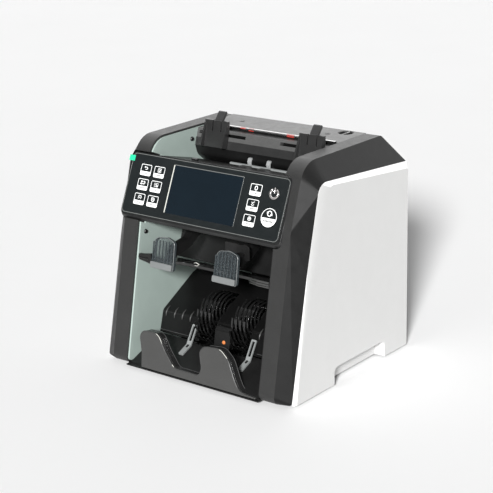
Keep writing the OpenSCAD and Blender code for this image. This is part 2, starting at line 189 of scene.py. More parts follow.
def g_lathe(profile, n=48, T=T0, cx=0, cy=0):
    """profile of (radius, height) turned about the local z axis through cx, cy."""
    v, f = [], []
    rings = []
    for r, h in profile:
        if r < 1e-6:
            rings.append([len(v)])
            v.append(T(cx, cy, h))
        else:
            rings.append(list(range(len(v), len(v) + n)))
            for k in range(n):
                a = 2 * math.pi * k / n
                v.append(T(cx + r * math.cos(a), cy + r * math.sin(a), h))
    for a, b in zip(rings, rings[1:]):
        for k in range(n):
            j = (k + 1) % n
            if len(a) == 1 and len(b) == 1:
                continue
            if len(a) == 1:
                f.append([a[0], b[j], b[k]])
            elif len(b) == 1:
                f.append([a[k], a[j], b[0]])
            else:
                f.append([a[k], a[j], b[j], b[k]])
    for r in (rings[0], rings[-1]):
        if len(r) > 1:
            f.append(list(r))
    return v, f


def g_loft(loops, caps=True, closed_ends=False):
    n = len(loops[0])
    v = [p for l in loops for p in l]
    f = []
    for i in range(len(loops) - 1):
        for k in range(n):
            j = (k + 1) % n
            f.append([i * n + k, i * n + j, (i + 1) * n + j, (i + 1) * n + k])
    if caps:
        f += [list(range(n))[::-1], list(range((len(loops) - 1) * n, len(loops) * n))]
    return v, f


def finish_mesh(o, bevel=0.0, seg=2, angle=32, smooth=38, subsurf=0):
    me = o.data
    bm = bmesh.new()
    bm.from_mesh(me)
    bmesh.ops.remove_doubles(bm, verts=bm.verts, dist=2e-6)
    bmesh.ops.recalc_face_normals(bm, faces=bm.faces)
    bm.to_mesh(me)
    bm.free()
    me.shade_smooth()
    me.set_sharp_from_angle(angle=math.radians(smooth))
    if bevel > 0:
        b = o.modifiers.new("edges", "BEVEL")
        b.width = bevel * mm
        b.segments = seg
        b.limit_method = "ANGLE"
        b.angle_limit = math.radians(angle)
        b.use_clamp_overlap = True
        b.harden_normals = False
        b.miter_outer = "MITER_ARC"
        w = o.modifiers.new("normals", "WEIGHTED_NORMAL")
        w.keep_sharp = False
        w.weight = 50
    if subsurf:
        s = o.modifiers.new("subdivision", "SUBSURF")
        s.levels = s.render_levels = subsurf


def build(name, geos, material, body="case", replaces=(), bevel=0.0, seg=2, angle=32, smooth=38, subsurf=0):
    v, f = [], []
    for gv, gf in geos:
        k = len(v)
        v += [(p[0] * mm, p[1] * mm, p[2] * mm) for p in gv]
        f += [[i + k for i in face] for face in gf]
    me = bpy.data.meshes.new(name)
    me.from_pydata(v, [], f)
    o = bpy.data.objects.new(name, me)
    S.collection.objects.link(o)
    me.materials.append(material)
    finish_mesh(o, bevel, seg, angle, smooth, subsurf)
    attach(o, body)
    if replaces:
        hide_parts(*replaces)
    return o


def refine(node, material, bevel=0.5, seg=2, angle=32, smooth=38, flat=1.0, name=None, zones=None):
    """A worked copy of a CAD node: its flats merged, its edges rounded. It stands for the node."""
    src = frame["nodes"][node]
    me = src.data.copy()
    o = bpy.data.objects.new(name or node + "_shell", me)
    S.collection.objects.link(o)
    bm = bmesh.new()
    bm.from_mesh(me)
    bmesh.ops.remove_doubles(bm, verts=bm.verts, dist=4e-6)
    if flat > 0:
        bmesh.ops.dissolve_limit(bm, angle_limit=math.radians(flat), verts=bm.verts, edges=bm.edges, delimit=set())
    bm.to_mesh(me)
    bm.free()
    me.materials.clear()
    me.materials.append(material)
    for p in me.polygons:
        p.material_index = 0
    if zones:
        me.materials.append(zones[0])
        for p in me.polygons:
            if zones[1](p.center / mm, p.normal):
                p.material_index = 1
    finish_mesh(o, bevel, seg, angle, smooth)
    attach(o, NODE_BODY[node])
    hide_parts(node)
    return o


# ---------------------------------------------------------------- materials
def mat(name, color, rough=0.4, mottle=0.05, mottle_scale=45, grain=0.0, grain_scale=2200, rough_var=0.05,
        metallic=0.0, spec=0.5, coat=0.0, coat_rough=0.1, transmission=0.0, ior=1.5, emission=None, emit=0.0,
        wave=0.0, wave_axis="X", wave_scale=600, wear=0.0, wear_color=None, speck=0.0, alpha=1.0):
    m = bpy.data.materials.new(name)
    m.use_nodes = True
    nt = m.node_tree
    N, L = nt.nodes, nt.links
    N.clear()
    out = N.new("ShaderNodeOutputMaterial")
    b = N.new("ShaderNodeBsdfPrincipled")
    L.new(b.outputs[0], out.inputs["Surface"])
    b.inputs["Metallic"].default_value = metallic
    b.inputs["Specular IOR Level"].default_value = spec
    b.inputs["Coat Weight"].default_value = coat
    b.inputs["Coat Roughness"].default_value = coat_rough
    b.inputs["Transmission Weight"].default_value = transmission
    b.inputs["IOR"].default_value = ior
    b.inputs["Alpha"].default_value = alpha
    if emission:
        b.inputs["Emission Color"].default_value = (*emission, 1)
        b.inputs["Emission Strength"].default_value = emit
    tc = N.new("ShaderNodeTexCoord")

    def noise(scale, detail=3.0, rough_=0.55, seed=0.0):
        n = N.new("ShaderNodeTexNoise")
        n.inputs["Scale"].default_value = scale
        n.inputs["Detail"].default_value = detail
        n.inputs["Roughness"].default_value = rough_
        mp = N.new("ShaderNodeMapping")
        mp.inputs["Location"].default_value = (seed, seed * 0.37, seed * 1.9)
        L.new(tc.outputs["Object"], mp.inputs["Vector"])
        L.new(mp.outputs[0], n.inputs["Vector"])
        return n

    # colour: broad mottling, plus a finer speckle
    n1 = noise(mottle_scale, 4.0, 0.6, 0.11)
    ramp = N.new("ShaderNodeValToRGB")
    ramp.color_ramp.elements[0].position = 0.3
    ramp.color_ramp.elements[1].position = 0.72
    lo = [max(0, c * (1 - mottle)) for c in color]
    hi = [min(1, c * (1 + mottle)) for c in color]
    ramp.color_ramp.elements[0].color = (*lo, 1)
    ramp.color_ramp.elements[1].color = (*hi, 1)
    L.new(n1.outputs["Fac"], ramp.inputs["Fac"])
    colour = ramp.outputs["Color"]
    if speck > 0:
        n3 = noise(grain_scale * 0.8, 2.0, 0.5, 0.7)
        sr = N.new("ShaderNodeValToRGB")
        sr.color_ramp.elements[0].position = 0.42
        sr.color_ramp.elements[1].position = 0.66
        sr.color_ramp.elements[0].color = (1 - speck,) * 3 + (1,)
        sr.color_ramp.elements[1].color = (1, 1, 1, 1)
        L.new(n3.outputs["Fac"], sr.inputs["Fac"])
        mx = N.new("ShaderNodeMix")
        mx.data_type = "RGBA"
        mx.blend_type = "MULTIPLY"
        mx.inputs["Factor"].default_value = 1.0
        L.new(colour, mx.inputs["A"])
        L.new(sr.outputs["Color"], mx.inputs["B"])
        colour = mx.outputs["Result"]
    if wear > 0:
        geo = N.new("ShaderNodeNewGeometry")
        pr = N.new("ShaderNodeMapRange")
        pr.inputs["From Min"].default_value = 0.53
        pr.inputs["From Max"].default_value = 0.62
        pr.inputs["To Max"].default_value = wear
        L.new(geo.outputs["Pointiness"], pr.inputs["Value"])
        mw = N.new("ShaderNodeMix")
        mw.data_type = "RGBA"
        mw.inputs["B"].default_value = (*(wear_color or [min(1, c * 3 + 0.03) for c in color]), 1)
        L.new(pr.outputs["Result"], mw.inputs["Factor"])
        L.new(colour, mw.inputs["A"])
        colour = mw.outputs["Result"]
    L.new(colour, b.inputs["Base Color"])
    # roughness: smudges
    n2 = noise(mottle_scale * 2.3, 5.0, 0.65, 0.53)
    mr = N.new("ShaderNodeMapRange")
    mr.inputs["From Min"].default_value = 0.3
    mr.inputs["From Max"].default_value = 0.7
    mr.inputs["To Min"].default_value = max(0.02, rough - rough_var)
    mr.inputs["To Max"].default_value = min(1.0, rough + rough_var)
    L.new(n2.outputs["Fac"], mr.inputs["Value"])
    L.new(mr.outputs["Result"], b.inputs["Roughness"])
    # bump: moulded grain, or brush lines
    last = None
    if grain > 0:
        n4 = noise(grain_scale, 3.0, 0.6, 0.29)
        bp = N.new("ShaderNodeBump")
        bp.inputs["Strength"].default_value = grain
        bp.inputs["Distance"].default_value = 0.0002
        L.new(n4.outputs["Fac"], bp.inputs["Height"])
        last = bp
    if wave > 0:
        wv = N.new("ShaderNodeTexWave")
        wv.bands_direction = wave_axis
        wv.inputs["Scale"].default_value = wave_scale
        wv.inputs["Distortion"].default_value = 1.2
        wv.inputs["Detail"].default_value = 2.0
        L.new(tc.outputs["Object"], wv.inputs["Vector"])
        bw = N.new("ShaderNodeBump")
        bw.inputs["Strength"].default_value = wave
        bw.inputs["Distance"].default_value = 0.0001
        L.new(wv.outputs["Fac"], bw.inputs["Height"])
        if last:
            L.new(last.outputs[0], bw.inputs["Normal"])
        last = bw
    # a very shallow, wide unevenness on every moulded or pressed surface
    n5 = noise(14, 2.0, 0.5, 0.91)
    bq = N.new("ShaderNodeBump")
    bq.inputs["Strength"].default_value = 0.06
    bq.inputs["Distance"].default_value = 0.001
    L.new(n5.outputs["Fac"], bq.inputs["Height"])
    if last:
        L.new(last.outputs[0], bq.inputs["Normal"])
    L.new(bq.outputs[0], b.inputs["Normal"])
    return m


M = {}
M["white_case"] = mat("white_case", (0.525, 0.525, 0.52), 0.38, mottle=0.012, grain=0.10, grain_scale=1600, rough_var=0.04, spec=0.45)
# painted highlight: a far lighter white for the side panels' bevel faces
M["white_edge_highlight"] = mat("white_edge_highlight", (0.86, 0.86, 0.85), 0.30, mottle=0.01, grain=0.05, grain_scale=1600, rough_var=0.03)
M["black_case"] = mat("black_case", (0.0175, 0.0175, 0.0172), 0.50, mottle=0.10, grain=0.55, grain_scale=1500, rough_var=0.05, spec=0.5, speck=0.25)
M["inner_black"] = mat("inner_black", (0.0075, 0.0075, 0.0075), 0.36, mottle=0.15, grain=0.15, grain_scale=1800, rough_var=0.08, spec=0.28)
M["gloss_black"] = mat("gloss_black", (0.008, 0.008, 0.008), 0.14, mottle=0.12, grain=0.04, grain_scale=900, rough_var=0.05, spec=0.6)
M["top_cover"] = mat("top_cover", (0.075, 0.075, 0.074), 0.42, mottle=0.08, grain=0.35, grain_scale=1500, rough_var=0.05, speck=0.15)
M["rubber"] = mat("rubber", (0.022, 0.022, 0.022), 0.75, mottle=0.15, grain=0.5, grain_scale=1200)
M["side_plate"] = mat("side_plate", (0.33, 0.395, 0.365), 0.36, mottle=0.03, grain=0.30, grain_scale=1300, rough_var=0.05)
M["screw"] = mat("screw", (0.02, 0.02, 0.02), 0.32, mottle=0.2, grain=0.1, metallic=0.6)
M["rail"] = mat("rail", (0.50, 0.50, 0.50), 0.20, mottle=0.04, metallic=1.0, wave=0.15, wave_axis="X", wave_scale=900)
M["light_trim"] = mat("light_trim", (0.22, 0.23, 0.228), 0.28, mottle=0.05, grain=0.08)
M["steel"] = mat("steel", (0.60, 0.60, 0.60), 0.24, mottle=0.06, metallic=1.0, wave=0.2, wave_axis="X", wave_scale=1500)
M["motor"] = mat("motor", (0.42, 0.42, 0.43), 0.38, mottle=0.06, metallic=0.9, grain=0.1)
M["overlay"] = mat("overlay", (0.0072, 0.0094, 0.0100), 0.34, mottle=0.05, grain=0.20, grain_scale=2600, rough_var=0.05, spec=0.5)
M["display"] = mat("display", (0.0045, 0.0090, 0.0135), 0.16, mottle=0.08, mottle_scale=18, rough_var=0.03, spec=0.5, coat=0.3, coat_rough=0.06)
M["film"] = mat("film", (0.02, 0.52, 0.27), 0.30, mottle=0.06)
M["power_key"] = mat("power_key", (0.52, 0.50, 0.49), 0.22, mottle=0.06, metallic=0.85)
M["clear_plastic"] = mat("clear_plastic", (0.05, 0.06, 0.065), 0.10, mottle=0.05, rough_var=0.03, alpha=0.30)
M["clear_rib"] = mat("clear_rib", (0.045, 0.055, 0.060), 0.12, mottle=0.05, rough_var=0.03, alpha=0.8)
M["ramp_black"] = mat("ramp_black", (0.0045, 0.0045, 0.0045), 0.34, mottle=0.15, grain=0.10, grain_scale=1500, spec=0.22)
M["frost_plastic"] = mat("frost_plastic", (0.40, 0.41, 0.41), 0.35, mottle=0.05, transmission=0.35, ior=1.49, grain=0.2)
# the sensor lens glows faintly orange: a painted glow
M["lens"] = mat("lens", (0.50, 0.17, 0.06), 0.15, mottle=0.05, emission=(1.0, 0.32, 0.05), emit=0.15)
M["tray"] = mat("tray", (0.040, 0.040, 0.039), 0.34, mottle=0.05, grain=0.22, grain_scale=1500, rough_var=0.04, spec=0.5)
M["print_white"] = mat("print_white", (0.80, 0.81, 0.80), 0.42, mottle=0.02, grain=0.05)
M["print_grey"] = mat("print_grey", (0.06, 0.06, 0.06), 0.42, mottle=0.05, grain=0.05)
M["line_grey"] = mat("line_grey", (0.14, 0.145, 0.14), 0.25, mottle=0.05)
# painted highlights: the display's left edge, the tray lobes' glints and the reject floor glint
M["highlight_line"] = mat("highlight_line", (0.50, 0.50, 0.46), 0.25, mottle=0.05)
M["red_mark"] = mat("red_mark", (0.42, 0.03, 0.02), 0.4, mottle=0.08)
M["guide_black"] = mat("guide_black", (0.020, 0.020, 0.020), 0.36, mottle=0.15, grain=0.25, grain_scale=1600, speck=0.2)
M["black_smooth"] = mat("black_smooth", (0.007, 0.007, 0.007), 0.38, mottle=0.10, grain=0.10, grain_scale=1500, spec=0.14)
M["housing"] = mat("housing", (0.0085, 0.0088, 0.0088), 0.42, mottle=0.10, grain=0.40, grain_scale=1600, speck=0.2)
# painted shade: near-black for the sheet over the hopper block's lower concave
M["dark_painted_shade"] = mat("dark_painted_shade", (0.016, 0.016, 0.016), 0.5, mottle=0.2, grain=0.6, grain_scale=1300, speck=0.3)
# painted reflection: lighter grey for the hopper block's upper faces
M["grey_painted_sheen"] = mat("grey_painted_sheen", (0.080, 0.080, 0.079), 0.50, mottle=0.10, grain=0.5, grain_scale=1500, speck=0.25)
M["lip_plastic"] = mat("lip_plastic", (0.20, 0.21, 0.21), 0.34, mottle=0.05, transmission=0.3, grain=0.2, grain_scale=1400)
M["bead_green"] = mat("bead_green", (0.50, 0.56, 0.50), 0.28, mottle=0.05, grain=0.1)
M["print_dark"] = mat("print_dark", (0.05, 0.05, 0.05), 0.3, mottle=0.1, grain=0.1)
# painted shade: a darker copy of the tray colour for its flange
M["tray_painted_shade"] = mat("tray_painted_shade", (0.020, 0.020, 0.020), 0.24, mottle=0.15, grain=0.05)
# painted shade: near-black for the slot shapes on the stripper guides
M["slot_shade_dark"] = mat("slot_shade_dark", (0.006, 0.006, 0.006), 0.6, mottle=0.1, grain=0.2)

# ---------------------------------------------------------------- camera
az, el, roll = map(math.radians, (38.341, 17.556, -1.444))
f_px, tx, ty, dist = 1455.458, -7.622, 135.495, 1841.352
back = Vector((math.sin(az) * math.cos(el), -math.cos(az) * math.cos(el), math.sin(el)))
fwd = -back
right = Vector((math.cos(az), math.sin(az), 0))
up = right.cross(fwd)
R = math.cos(roll) * right + math.sin(roll) * up
U = -math.sin(roll) * right + math.cos(roll) * up
C = (back * dist + right * tx + up * ty) / 1000
cam = bpy.data.objects.new("camera", bpy.data.cameras.new("camera"))
S.collection.objects.link(cam)
cam.matrix_world = Matrix(((R.x, U.x, back.x, C.x), (R.y, U.y, back.y, C.y), (R.z, U.z, back.z, C.z), (0, 0, 0, 1)))
cam.data.sensor_width = 36
cam.data.lens = f_px / 493 * 36
S.camera = cam

# ---------------------------------------------------------------- case
refine("base_pan", M["inner_black"], 0.4)
refine("feet", M["rubber"], 0.5, angle=40)
# the bevel faces take the lighter white: a painted highlight on one plastic
refine("side_panel_left", M["white_case"], 0.9, seg=3, angle=14, flat=1.5, zones=(M["white_edge_highlight"], lambda c, n: abs(c.x) > 141 and 0.15 < abs(n.x) < 0.985))
refine("side_panel_right", M["white_case"], 0.9, seg=3, angle=14, flat=1.5, zones=(M["white_edge_highlight"], lambda c, n: abs(c.x) > 141 and 0.15 < abs(n.x) < 0.985))
chamfer = lambda c, n: abs(c.x) > 124.5 and c.x * n.x > 0 and 0.18 < abs(n.x) < 0.985
refine("frame_left", M["black_case"], 0.8, seg=3, angle=28, flat=1.0, zones=(M["black_smooth"], chamfer))
refine("frame_right", M["black_case"], 0.8, seg=3, angle=28, flat=1.0, zones=(M["black_smooth"], chamfer))
refine("side_plate_left", M["side_plate"], 0.3)
# painted shade: the right plate's front-facing faces are made near-black
refine("side_plate_right", M["side_plate"], 0.3, zones=(M["inner_black"], lambda c, n: n.y < -0.5))
refine("plate_screws", M["screw"], 0.15)
refine("rear_cover", M["black_case"], 0.35, flat=0)
build("rear_screws", [g_lathe([(3.4, 127.75), (3.4, 128.1), (2.9, 128.18), (1.2, 128.18), (1.0, 127.9), (0, 127.9)], 24, lambda a, b, h: (a, h, b), x, z)
                      for x in (-92, 92) for z in (30, 120, 220)], M["screw"], "case")
refine("mains_inlet", M["inner_black"], 0.4)
refine("top_cover", M["top_cover"], 0.6)
refine("cover_screws", M["screw"], 0.2)
refine("adjust_knob", M["inner_black"], 0.5)
# the block's upper faces take a lighter grey than its lower concave: a painted sky reflection
refine("hopper_block", M["inner_black"], 0.8, zones=(M["grey_painted_sheen"], lambda c, n: c.z > 256.5 and not 26 < c.y < 30 and not (268.5 < c.z < 274 and abs(n.z) > 0.9)))
refine("guide_left", M["guide_black"], 0.5)
refine("guide_right", M["guide_black"], 0.5)
refine("hopper_floor", M["inner_black"], 0.5)
refine("feed_lip", M["light_trim"], 0.3)
refine("throat_guides", M["frost_plastic"], 0.3)
refine("feed_shaft", M["steel"], 0.4)
refine("feed_rollers", M["rubber"], 0.6)
refine("feed_motor", M["motor"], 0.6)
refine("panel_housing", M["housing"], 0.9, seg=3, angle=20)
refine("panel_overlay", M["overlay"], 0.25)
refine("display_glass", M["display"], 0.35)
refine("film_tab", M["film"], 0.1)
for k in ("a1", "a2", "a3", "b1", "b2", "b3", "c1", "c2", "c3", "restart"):
    refine("key_" + k, M["overlay"], 0.25, seg=3)
refine("scanner_upper", M["inner_black"], 1.0)
refine("scanner_lower", M["inner_black"], 1.0)
refine("pocket_floor", M["gloss_black"], 0.8)
refine("stop_shaft", M["steel"], 0.3)
refine("arm_left", M["inner_black"], 0.8)
refine("arm_right", M["inner_black"], 0.8)
refine("stacker_ramp", M["ramp_black"], 0.6)
refine("centre_column", M["inner_black"], 0.8)
refine("sensor_lens", M["lens"], 0.3)
refine("stripper_guides", M["light_trim"], 0.35)
refine("stacker_shaft", M["steel"], 0.4)
refine("stacker_motor", M["motor"], 0.6)
refine("tray_floor", M["inner_black"], 0.6)
refine("tray_front", M["tray"], 1.0, seg=3)
refine("power_supply", M["motor"], 1.0)


# ---------------------------------------------------------------- stacker wheels
def wheel(name, cx, node):
    g = []
    for k in range(4):
        x0 = cx - 10.8 + k * 6.4
        T = lambda a, b, x, x0=x0: (x0 + x, -38 + a, 50 + b)
        g.append(g_ring(circle(0, 0, 13.0 if k in (0, 3) else 12.2, 48), circle(0, 0, 4.05, 48), 0, 2.2, T))
        for i in range(14):
            a = i * 360 / 14 + k * 0.6
            pts = []
            for t in [j / 9 for j in range(10)]:
                r = 10.5 + 26.6 * t
                q = math.radians(a - 64 * t * t)
                pts.append((r * math.cos(q), r * math.sin(q)))
            g.append(g_stroke(pts, 0.85, 0, 2.2, T))
    T = lambda a, b, x: (cx + x, -38 + a, 50 + b)
    g.append(g_ring(circle(0, 0, 9.0, 40), circle(0, 0, 4.05, 40), -10.9, 10.9, T))
    build(name, g, M["gloss_black"], "stacker", (node,), bevel=0.12, seg=1, angle=50)


wheel("wheel_left_vanes", -25, "wheel_left")
wheel("wheel_right_vanes", 29, "wheel_right")

# ---------------------------------------------------------------- clear stops
CA, SA = math.cos(math.radians(11.17)), math.sin(math.radians(11.17))


def stop(side, cx):
    T = lambda x, u, w: (cx + x, -104.2 - w * CA + u * SA, 130 + w * SA + u * CA)
    body, h = "reject_stop_" + side, 17.75
    plate = outline([(-h, 0, 3), (h, 0, 3), (h - 1, 36, 6), (5, 40, 10), (-h + 4, 37.5, 8)], 7)
    build("stop_%s_plate" % side, [g_prism(plate, 0, 1.6, T)], M["clear_plastic"], body, ("stop_" + side,), bevel=0.3)
    inner = outline([(-h + 1.1, 1.1, 2), (h - 1.1, 1.1, 2), (h - 2, 35, 5), (4.8, 38.8, 9), (-h + 4.8, 36.5, 7)], 7)
    build("stop_%s_rim" % side, [g_ring(plate, inner, -3.4, 0, T)], M["clear_rib"], body, bevel=0.25)
    ribs = []
    for i in range(7):
        x = -h + 3 + i * (2 * h - 6) / 6
        top = 33 if i in (0, 6) else 35.4
        ribs.append(g_prism(rrect(x - 0.5, x + 0.5, 8, top, 0.45, 3), 1.5, 2.9, T))
    build("stop_%s_ribs" % side, ribs, M["clear_rib"], body, bevel=0.2)
    lip = [g_prism(rrect(-h + 0.9, h - 0.9, 0.6, 8.2, 1.6, 4), 1.5, 3.95, T)]
    build("stop_%s_lip" % side, lip, M["lip_plastic"], body, bevel=0.5, seg=3)
    # a light tube along part of the clear plate's edge: a painted highlight
    P = [T(p[0], p[1], 1.1) for p in plate[len(plate) // 4:]]
    build("stop_%s_bead" % side, [g_tube(P, 0.38, 8)], M["lip_plastic"], body)


stop("left", -58.2)
stop("right", 38.4)
build("stop_right_bracket", [g_prism(outline([(20, 154, 2), (56, 154, 2), (56, 171, 4), (50, 174, 3), (44, 171.6, 4), (38, 173, 4), (20, 173, 2)], 5), -78.5, -76.5, lambda a, b, d: (a, d, b))],
      M["inner_black"], "reject_stop_right", bevel=0.4)

# ---------------------------------------------------------------- hopper
build("rail_body", [g_box(-100.2, 100.2, 35, 38.6, 269.8, 277.2)], M["inner_black"], "case", ("guide_rail",), bevel=0.3)
build("rail_strip", [g_prism(rrect(34.9, 38.7, 277.0, 280.6, 0.9, 4), -99.9, 99.9, TX)], M["rail"], "case", bevel=0.15)
marks = [(-42.4, -34.3, 1), (-29.4, -21.4, 0), (29.4, 40, 1), (29.4, 40, 0)]
build("rail_marks", [g_box(a, b, 34.75, 35.1, 279.3 if t else 277.6, 280.2 if t else 278.5) for a, b, t in marks] +
      [g_box(a, b, 35.6, 36.6, 280.5, 280.72) for a, b, t in marks], M["red_mark"], "case")
# a thin near-black sheet over the block's lower concave: painted shade
build("hopper_lower", [g_prism([(15.7, 255.2), (18.9, 265.0), (17.6, 265.5), (14.7, 255.2)], -99.9, 99.9, TX)], M["dark_painted_shade"], "case", bevel=0.3)
build("hopper_bump", [g_prism(rrect(-51, -42, -52, -46.4, 2.2), 252.5, 258.5)], M["inner_black"], "case", bevel=1.0, seg=3)
build("knob_marks", [g_box(92.2, 93.4, 96.2, 97.4, 274.0, 274.4), g_box(68.5, 69.5, 95.6, 96.8, 274.0, 274.4)], M["print_white"], "case")
build("knob_pointer", [g_box(80.5, 81.5, 88.5, 94.2, 278.3, 278.44)], M["print_white"], "thickness_knob")

# ---------------------------------------------------------------- tray
TR = outline([(-78.6, 2.8, 0), (-80.5, 24, 20), (-87, 48.5, 9), (-57, 49.5, 15), (-43, 30, 16),
              (-27, 12.5, 13), (12.5, 12, 6.5), (15, 22, 12), (7.5, 47.6, 10), (40, 51, 18), (54, 40, 24),
              (66, 18, 16), (74, 6.4, 14), (98, 4.8, 0)], 10)
ins = stroke(TR, 3.0)[1]
v, f = [], []
n = len(TR)
for side in (TR, ins):
    for z in (-4.0, -13.0):
        v += [TF(p[0], p[1], z) for p in side]
for i in range(n - 1):
    for a, b in ((0, 1), (1, 3), (3, 2), (2, 0)):
        f.append([a * n + i, a * n + i + 1, b * n + i + 1, b * n + i])
f += [[0, n, 3 * n, 2 * n], [n - 1, 2 * n - 1, 4 * n - 1, 3 * n - 1]]
# the flange takes a darker black than the tray front: painted shade
build("tray_flange", [(v, f)], M["tray_painted_shade"], "case", bevel=0.3)
E = [TF(p[0], p[1], -0.9) for p in TR]
build("tray_edge", [g_tube(E[1:-1], 0.3, 8)], M["print_dark"], "case")


def near(x, y):
    return min(range(n), key=lambda i: (TR[i][0] - x) ** 2 + (TR[i][1] - y) ** 2)


for i, (a, b) in enumerate((((-60, 49), (-47, 34)), ((-34, 20), (-27, 13.5)), ((38, 50.5), (52, 41)))):
    q = E[near(*a):near(*b) + 1]
    build("tray_glint_%d" % i, [g_tube(q, [0.1] + [0.42] * (len(q) - 2) + [0.1], 8)], M["highlight_line"], "case")
build("tray_back_edge", [g_tube([TF(p[0], p[1], -12.8) for p in TR[1:-1]], 0.4, 8)], M["print_dark"], "case")

# ---------------------------------------------------------------- ramp and tray floor
rp = outline([(-66.4, 30.4, 0), (-58.3, 57.2, 7), (2, 90.2, 20), (21, 96, 0)], 8)
for sx in (-1, 1):
    t = "l" if sx < 0 else "r"
    rid = [g_tube([(sx * x, -61.0, 50.0), (sx * x, -60.0, 54.0), (sx * x, -57.0, 58.2), (sx * x, -52, 61.2)], [0.3, 0.9, 0.95, 0.3], 8)
           for x in (93.6, 79.9, 67.3, 54.3)]
    build("ramp_ridges_" + t, rid, M["tray"], "case")
    build("ramp_seam_" + t, [g_tube([(sx * 99, -66.0, 33.2), (sx * 54, -66.0, 33.2)], 0.35, 6)], M["print_dark"], "case")
# thin dark sheets in the shape of slots on the stripper guides: painted shade
slots_ = []
for x in (-43.5, 49):
    c_, s_ = math.cos(math.radians(22.8)), math.sin(math.radians(22.8))
    Tg = lambda a, b, z, x=x: (x + a, -93.2 + b * c_ - z * s_, 18.75 + b * s_ + z * c_)
    slots_.append(g_prism(rrect(-1.6, 1.6, 12.5, 18.5, 1.5, 5), 1.9, 2.12, Tg))
build("stripper_slots", slots_, M["slot_shade_dark"], "case")

# ---------------------------------------------------------------- reject floor
ear = []
for x, y0, z0_, z1_ in ((-99.6, -99.5, 134.6, 141.4), (-90, -99.4, 133.0, 142.6), (-80, -99.0, 130.8, 144.4)):
    ear.append([(x, y0, z0_), (x, y0, z1_), (x, -96.0, z1_ + 0.4), (x, -96.0, z0_)])
build("reject_ear", [g_loft(ear)], M["inner_black"], "case", bevel=0.5)
build("reject_ridges", [g_tube([(62, -88.0 + d, z - 4.2), (68, -91.0 + d, z - 2.6), (76, -95.6 + d, z - 0.9), (85, -99.0 + d, z), (100.1, -99.3 + d, z)], [0.4, 1.0, 1.2, 1.3, 1.3], 10)
                        for z, d in ((141.2, 0.4), (138.4, 0), (135.6, 0.9))], M["tray"], "case")
build("reject_glint", [g_tube([(-41, -64.4, 130.6), (-36.5, -65.4, 132.0), (-32, -65.6, 130.4), (-34.5, -66.0, 128.4), (-39, -66.0, 128.2)], [0.25, 0.6, 0.8, 0.5, 0.2], 8)], M["highlight_line"], "case")

# ---------------------------------------------------------------- panel prints
def key_T(cx, cy):
    return lambda x, y, z: TP(cx + x, cy + y, z)


KX, KY = (-108, -86.7, 61.5), (51.2, 33.1, 14.9)
ZT = 0.39


def key_frame(cx, cy):
    T = key_T(cx, cy)
    g = [g_ring(rrect(-8.3, 8.3, -6.95, 6.95, 1.7), rrect(-7.6, 7.6, -6.25, 6.25, 1.1), ZT, ZT + 0.08, T),
         g_prism(outline([(-7.8, -6.6, 1.2), (7.8, -6.6, 1.2), (7.8, -1.75, 0), (-7.8, -1.75, 0)]), ZT, ZT + 0.07, T)]
    return g


def label(cx, cy, y0, n, w=0.95, h=1.5, step=1.45):
    T = key_T(cx, cy)
    g = []
    for i in range(n):
        x = (i - (n - 1) / 2) * step
        g.append(g_box(x - w / 2, x + w / 2, y0 - h / 2, y0 + h / 2, ZT + 0.05, ZT + 0.11, T))
    return g


def icon(kind, T, cy=2.2):
    z0, z1 = ZT, ZT + 0.08
    tri = lambda p: g_prism(p, z0, z1, T)
    st = lambda p, w, c=False: g_stroke(p, w, z0, z1, T, c)
    if kind == "a1":
        return [st([(-1.7, cy + 1.3), (0.8, cy + 1.3)] + arc(0.8, cy, 1.3, 85, -85, 10) + [(-1.2, cy - 1.4)], 0.75),
                tri([(-3.2, cy + 1.3), (-1.5, cy + 2.7), (-1.5, cy - 0.1)])]
    if kind == "a2":
        return [g_box(-3.4, -1.0, cy + 0.6, cy + 2.3, z0, z1, T), g_box(0.3, 3.0, cy + 0.9, cy + 2.2, z0, z1, T),
                g_box(-3.9, -0.6, cy - 2.2, cy - 0.5, z0, z1, T), g_box(0.9, 2.4, cy - 2.0, cy - 0.3, z0, z1, T), st([(1.6, cy - 0.2), (3.9, cy + 0.3)], 0.7)]
    if kind == "a3":
        return [st(arc(0, cy, 2.4, -50, 230, 26), 0.75), tri([(-0.8, cy - 0.9), (0.9, cy - 0.9), (0.2, cy + 1.2)])]
    if kind == "b1":
        return [st(rrect(-2.3, 2.3, cy - 2.2, cy + 2.2, 0.8), 0.6, True), st([(-1.3, cy - 0.4), (0, cy - 1.2), (2.9, cy + 2.2)], 0.7), st([(-1.2, cy + 1.0), (0.6, cy + 1.0)], 0.5)]
    if kind == "b2":
        return [st(rrect(-2.9, 2.9, cy - 2.1, cy + 2.1, 0.5), 0.45, True), st([(-1.9, cy + 0.9), (1.0, cy + 0.9)], 0.5), st([(-1.9, cy - 0.1), (1.9, cy - 0.1)], 0.5),
                g_box(0.4, 2.3, cy - 1.7, cy - 0.6, z0, z1, T)]
    if kind == "b3":
        return [st(circle(0, cy, 2.2, 30), 0.85, True), tri([(-1.0, cy + 0.6), (1.3, cy + 0.4), (0.1, cy - 1.2)]), st([(-2.6, cy + 1.9), (-1.4, cy + 2.3)], 0.6)]
    if kind == "c1":
        return [st(circle(0, cy, 1.75, 32, 2.35), 1.0, True)]
    if kind == "c2":
        return [st([(-1.9, cy + 1.6), (-0.4, cy - 0.2), (2.2, cy + 2.4)], 0.75), st(arc(0, cy - 0.2, 2.1, 200, 340, 14), 0.7)]
    return [st(circle(0, cy, 2.2, 30), 0.6, True), st([(-2.0, cy + 0.4), (2.0, cy + 0.4)], 0.45), st([(-1.2, cy - 1.3), (0, cy + 0.2), (1.2, cy - 1.3)], 0.55), st([(-1.1, cy + 1.6), (1.1, cy + 1.6)], 0.5)]


